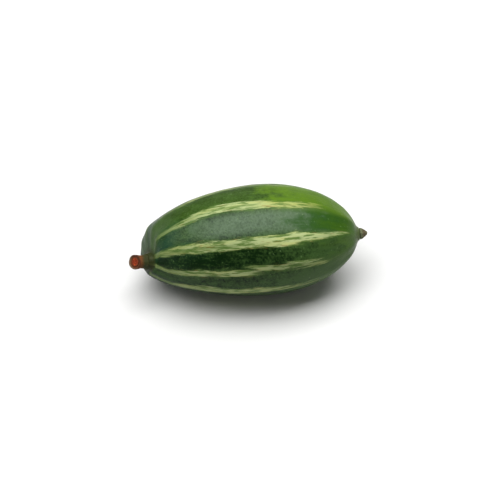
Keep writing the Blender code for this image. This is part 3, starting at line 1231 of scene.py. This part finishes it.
@dataclass
class StemStub:
    """The corky stub of the stem, cut off slantwise, and the pith in the cut."""

    form: FruitForm = field(default_factory=FruitForm)
    sides: int = 40
    length: float = 0.0038
    gap: float = 0.0003
    foot_radius: float = 0.00262
    waist_radius: float = 0.00230
    lip_radius: float = 0.00245
    sunk: float = 0.0010
    spare: float = 0.0025
    bark_thickness: float = 0.00050
    pith_depth: float = 0.00040
    edge_inset: float = 0.00008
    edge_rise: float = 0.00006
    pith_inset: float = 0.00010
    ridge_count: int = 5
    fine_ridge_count: int = 11
    fine_ridge_shift: float = 40.0
    ridge_height: float = 0.00015
    grain_size: float = 0.0008
    grain_depth: float = 0.00012
    pith_sides: int = 28
    pith_start: float = 1.4
    pith_grain_size: float = 0.0009
    pith_grain_depth: float = 0.00030
    rounding: int = 2

    @property
    def foot(self) -> Vector:
        """Returns where the stub meets the collar."""
        return self.form.laid(self.form.collar_top + self.form.stub_aim * self.gap)

    @property
    def aim(self) -> Vector:
        """Returns the way that the stub points."""
        return self.form.turned(self.form.stub_aim)

    @property
    def cut_centre(self) -> Vector:
        """Returns the middle of the cut."""
        return self.foot + self.aim * self.length

    @property
    def cut_aim(self) -> Vector:
        """Returns the way that the cut faces."""
        return self.form.turned(self.form.cut_aim)

    def sections(self) -> list[Section]:
        """Works out the rings of the stub.

        Returns:
            The rings, from below the collar's top to well past the cut.
        """
        # Shares of the length, and radii
        shape = (
            (-self.sunk / self.length, self.foot_radius * 1.02),
            (-0.10, self.foot_radius * 1.10),
            (0.06, self.foot_radius * 1.00),
            (0.26, self.waist_radius * 1.01),
            (0.50, self.waist_radius * 0.99),
            (0.78, self.lip_radius * 1.03),
            (1.10, self.lip_radius * 1.07),
            (1.0 + self.spare / self.length, self.lip_radius),
        )
        return [
            Section(self.foot + self.aim * self.length * share, self.aim, radius, held(share))
            for share, radius in shape
        ]

    def build(self) -> bpy.types.Object:
        """Models the bark.

        Returns:
            The finished piece.
        """
        sections = self.sections()
        piece = Bench.grow("stem_bark", sections, self.sides)
        places = ring_places(piece, sections, self.sides)
        wrap_coordinates(piece, places)
        ridges = piece.vertex_groups.new(name="ridges")
        for corner, (section, turn) in enumerate(places):
            wave = math.cos(math.radians(self.ridge_count * turn))
            wave += 0.5 * math.cos(math.radians(self.fine_ridge_count * turn + self.fine_ridge_shift))
            ridges.add([corner], (1.5 + wave) / 3, "REPLACE")
        Bench.apply(
            piece, "DISPLACE", "ridges", strength=2 * self.ridge_height, mid_level=0.5,
            vertex_group="ridges",
        )
        Bench.open(piece)
        bpy.ops.mesh.select_all(action="SELECT")
        bpy.ops.mesh.bisect(
            plane_co=self.cut_centre, plane_no=self.cut_aim, use_fill=True, clear_outer=True
        )
        Bench.close()
        self.sink_cut(piece)
        Bench.round_off(piece, self.rounding)
        Bench.uneven(piece, "bark", self.grain_size, self.grain_depth)
        Bench.smooth(piece)
        return piece

    def sink_cut(self, piece: bpy.types.Object) -> None:
        """Bevels the bark's edge at the cut and hollows the cut out for the pith.

        Args:
            piece: The bark, cut off flat.
        """
        Bench.open(piece, "FACE")
        Bench.close()
        for face in piece.data.polygons:
            over = (face.center - self.cut_centre).dot(self.cut_aim)
            face.select = abs(over) < ON_PLANE and face.normal.dot(self.cut_aim) > SAME_WAY
        bpy.ops.object.mode_set(mode="EDIT")
        bpy.ops.mesh.inset(thickness=self.edge_inset, depth=self.edge_rise)
        bpy.ops.mesh.inset(thickness=self.bark_thickness, depth=0.0)
        bpy.ops.mesh.inset(thickness=self.pith_inset, depth=-self.pith_depth)
        Bench.close()

    def build_pith(self) -> bpy.types.Object:
        """Models the pith, a low uneven cushion in the cut.

        Returns:
            The finished piece.
        """
        aim = self.cut_aim
        middle = self.cut_centre - aim * self.pith_depth * self.pith_start
        radius = self.lip_radius - self.bark_thickness
        # Heights over the middle, and shares of the radius
        shape = ((0.0, 1.0), (0.0004, 1.0), (0.00062, 0.86), (0.00072, 0.55), (0.00062, 0.22))
        rings = [Section(middle + aim * up, aim, radius * wide, wide) for up, wide in shape]
        piece = Bench.grow("stem_pith", rings, self.pith_sides)
        Bench.round_off(piece, self.rounding)
        Bench.uneven(piece, "pith", self.pith_grain_size, self.pith_grain_depth)
        Bench.smooth(piece)
        return piece

    def dress(self, bark: bpy.types.Object, pith: bpy.types.Object) -> None:
        """Gives the stub its finishes and its place in the frame.

        Args:
            bark: The bark.
            pith: The pith.
        """
        bark.data.materials.append(BarkFinish().make(self.cut_centre, self.cut_aim))
        settle(bark, "stem_stub")
        pith.data.materials.append(PithFinish().make(self.cut_centre))
        settle(pith, "stem_stub")


@dataclass
class Blossom:
    """The dried remnant of the flower, a creased cone on the beak."""

    form: FruitForm = field(default_factory=FruitForm)
    sides: int = 56
    length: float = 0.0024
    gap: float = 0.0003
    foot_radius: float = 0.00218
    end_radius: float = 0.0007
    point_radius: float = 0.0004
    sunk: float = 0.0005
    crease_count: int = 7
    fine_crease_count: int = 16
    fine_crease_shift: float = 70.0
    crease_depth: float = 0.00016
    grain_size: float = 0.0009
    grain_depth: float = 0.00016
    rounding: int = 2

    def sections(self) -> list[Section]:
        """Works out the rings of the remnant.

        Returns:
            The rings, from inside the beak to the point.
        """
        form = self.form
        foot = form.laid(form.beak_top - TO_STEM * self.gap)
        away = form.turned(-TO_STEM)
        fall = self.foot_radius - self.end_radius
        # Shares of the length, and radii
        shape = (
            (-(self.gap + self.sunk) / self.length, self.foot_radius),
            (0.0, self.foot_radius),
            (0.20, 0.94 * self.foot_radius),
            (0.45, self.foot_radius - 0.38 * fall),
            (0.72, self.foot_radius - 0.72 * fall),
            (0.94, self.end_radius),
            (1.0, self.point_radius),
        )
        return [
            Section(foot + away * self.length * share, -away, radius, held(share))
            for share, radius in shape
        ]

    def build(self) -> bpy.types.Object:
        """Models the remnant.

        Returns:
            The finished piece.
        """
        sections = self.sections()
        piece = Bench.grow("dry_blossom", sections, self.sides)
        places = ring_places(piece, sections, self.sides)
        wrap_coordinates(piece, places)
        creases = piece.vertex_groups.new(name="creases")
        for corner, (section, turn) in enumerate(places):
            wave = 0.5 + 0.35 * math.cos(math.radians(self.crease_count * turn))
            wave += 0.15 * math.cos(math.radians(self.fine_crease_count * turn + self.fine_crease_shift))
            creases.add([corner], wave * section.radius / self.foot_radius, "REPLACE")
        Bench.apply(
            piece, "DISPLACE", "creases", strength=2 * self.crease_depth, mid_level=1.5,
            vertex_group="creases",
        )
        Bench.round_off(piece, self.rounding)
        Bench.uneven(piece, "blossom", self.grain_size, self.grain_depth)
        Bench.smooth(piece)
        return piece

    def dress(self, piece: bpy.types.Object) -> None:
        """Gives the remnant its finish and its place in the frame."""
        piece.data.materials.append(BlossomFinish().make())
        settle(piece, "blossom_tip")


def settle(piece: bpy.types.Object, node: str) -> None:
    """Ties a piece to the frame.

    Args:
        piece: The finished piece.
        node: The solid that it stands for.
    """
    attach(piece, BODY)
    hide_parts(node)
    LOG.info("%s stands for %s: %d faces", piece.name, node, len(piece.data.polygons))


@dataclass(frozen=True)
class Softbox:
    """One soft light: where it hangs, the point that it faces, its width and depth, and its watts."""

    name: str
    place: tuple[float, float, float]
    towards: tuple[float, float, float]
    size: tuple[float, float]
    power: float


@dataclass
class Studio:
    """The pale floor, the soft lights and the camera."""

    softboxes: tuple[Softbox, ...] = (
        Softbox("overhead softbox", (-0.02, 0.06, 0.62), (0.0, 0.0, 0.02), (0.90, 0.42), 7.5),
        Softbox("back softbox", (0.05, 0.75, 0.35), (0.0, 0.0, 0.02), (0.60, 0.60), 0.4),
    )
    floor_size: float = 6.0
    floor_drop: float = 0.00005
    floor_colour: Colour = (0.74, 0.74, 0.735)
    sky: Colour = (1.0, 1.0, 1.0)
    sky_strength: float = 0.13
    target: tuple[float, float, float] = (-0.0041, 0.0, 0.0202)
    azimuth: float = -5.2
    elevation: float = 50.0
    distance: float = 0.40
    lens: float = 85.0
    nearest: float = 0.01

    def build(self) -> None:
        """Sets up the whole studio."""
        self.lay_floor()
        self.light_sky()
        for softbox in self.softboxes:
            self.hang(softbox)
        self.set_camera()

    def lay_floor(self) -> None:
        """Lays the floor."""
        Bench.clear_selection()
        bpy.ops.mesh.primitive_plane_add(size=self.floor_size, location=(0.0, 0.0, -self.floor_drop))
        floor = bpy.context.active_object
        floor.name = "floor"
        finish = Finish("pale floor", Gloss.DRY.value)
        finish.set("Base Color", (*self.floor_colour, 1.0))
        finish.set("Specular IOR Level", 0.1)
        floor.data.materials.append(finish.material)

    def light_sky(self) -> None:
        """Fills the room with faint even light."""
        world = bpy.data.worlds.new("studio room")
        world.use_nodes = True
        backdrop = world.node_tree.nodes["Background"]
        backdrop.inputs["Color"].default_value = (*self.sky, 1.0)
        backdrop.inputs["Strength"].default_value = self.sky_strength
        bpy.context.scene.world = world

    def hang(self, softbox: Softbox) -> None:
        """Hangs one softbox.

        Args:
            softbox: Which one.
        """
        lamp = bpy.data.lights.new(softbox.name, "AREA")
        lamp.shape = "RECTANGLE"
        lamp.size, lamp.size_y = softbox.size
        lamp.energy = softbox.power
        hung = bpy.data.objects.new(softbox.name, lamp)
        hung.location = softbox.place
        away = Vector(softbox.towards) - Vector(softbox.place)
        hung.rotation_euler = away.to_track_quat("-Z", "Y").to_euler()
        bpy.context.scene.collection.objects.link(hung)

    def set_camera(self) -> None:
        """Sets the camera at the photograph's viewing angle."""
        turn, rise = math.radians(self.azimuth), math.radians(self.elevation)
        back = Vector((math.sin(turn) * math.cos(rise), -math.cos(turn) * math.cos(rise), math.sin(rise)))
        lens = bpy.data.cameras.new("camera")
        lens.lens = self.lens
        lens.clip_start = self.nearest
        camera = bpy.data.objects.new("camera", lens)
        camera.location = Vector(self.target) + back * self.distance
        camera.rotation_euler = back.to_track_quat("Z", "Y").to_euler()
        bpy.context.scene.collection.objects.link(camera)
        bpy.context.scene.camera = camera
        bpy.context.scene.view_settings.view_transform = "Standard"


def main() -> None:
    """Builds and dresses the gourd, then sets up the studio."""
    logging.basicConfig(level=logging.INFO, format="%(message)s")
    fruit = Fruit()
    fruit.dress(fruit.build())
    stub = StemStub()
    stub.dress(stub.build(), stub.build_pith())
    blossom = Blossom()
    blossom.dress(blossom.build())
    Studio().build()


if __name__ == "__main__":
    main()
